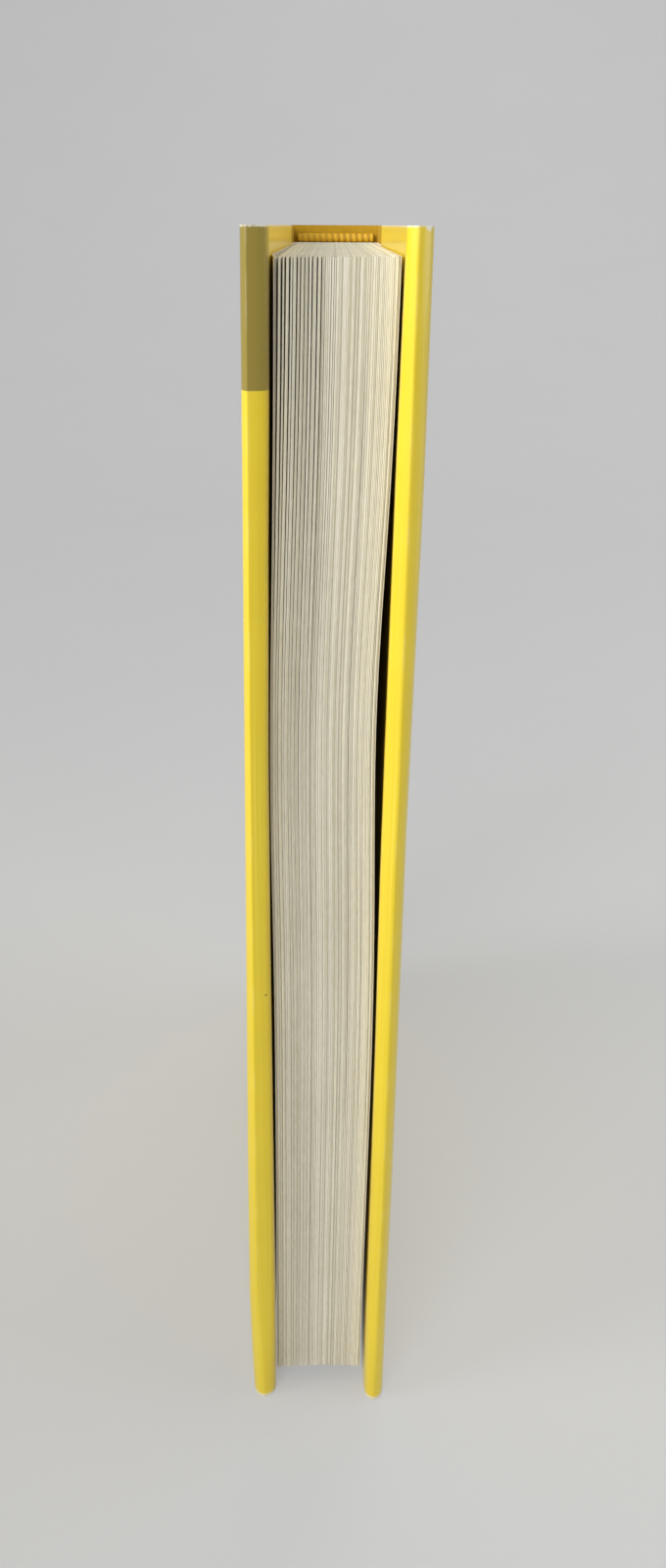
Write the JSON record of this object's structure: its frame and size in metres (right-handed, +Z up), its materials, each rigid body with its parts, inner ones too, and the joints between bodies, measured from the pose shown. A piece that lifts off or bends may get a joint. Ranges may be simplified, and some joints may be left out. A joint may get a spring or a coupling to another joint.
{
  "type": "hardcover book",
  "caption": "Closed hardcover book standing on its tail, with a loose glossy dust jacket, cloth-covered boards that hinge open, ribbed headbands and a bowed text block",
  "frame": {"origin": "middle of the bounding box in plan, on the surface that the book stands on", "axes": "X across the thickness from the front cover (-X) to the back cover (+X), Y from the fore-edge (-Y) to the spine (+Y), Z up from tail to head"},
  "size_m": [0.0293, 0.1598, 0.2365],
  "materials": {
    "pages": "uncoated cream paper, trimmed edges",
    "endpaper": "uncoated cream endpaper",
    "mull": "starched open-weave gauze",
    "liner": "brown kraft paper and card",
    "band": "ribbed gold woven tape",
    "board": "grey binder's board",
    "cloth": "golden orange book cloth",
    "jacket": "glossy laminated yellow print with an olive band at the head of the front panel"
  },
  "bodies": {
    "book_block": {"text_block": "pages", "front_flyleaf": "endpaper", "back_flyleaf": "endpaper", "spine_mull": "mull", "spine_liner": "liner", "headband": "band", "tailband": "band", "spine_inlay": "liner", "spine_cloth": "cloth", "front_joint": "cloth", "back_joint": "cloth", "jacket_spine": "jacket"},
    "front_cover": {"front_board": "board", "front_cloth": "cloth", "front_pastedown": "endpaper", "jacket_front": "jacket"},
    "back_cover": {"back_board": "board", "back_cloth": "cloth", "back_pastedown": "endpaper", "jacket_back": "jacket"}
  },
  "joints": [
    {"name": "front_cover_hinge", "type": "hinge", "parent": "book_block", "child": "front_cover", "pos_m": [-0.0141, 0.07298, 0.11815], "axis": [0, 0, -1], "range_deg": [0, 175], "deforming": ["front_joint"]},
    {"name": "back_cover_hinge", "type": "hinge", "parent": "book_block", "child": "back_cover", "pos_m": [0.0141, 0.07298, 0.11815], "axis": [0, 0, 1], "range_deg": [0, 175], "deforming": ["back_joint"]}
  ]
}
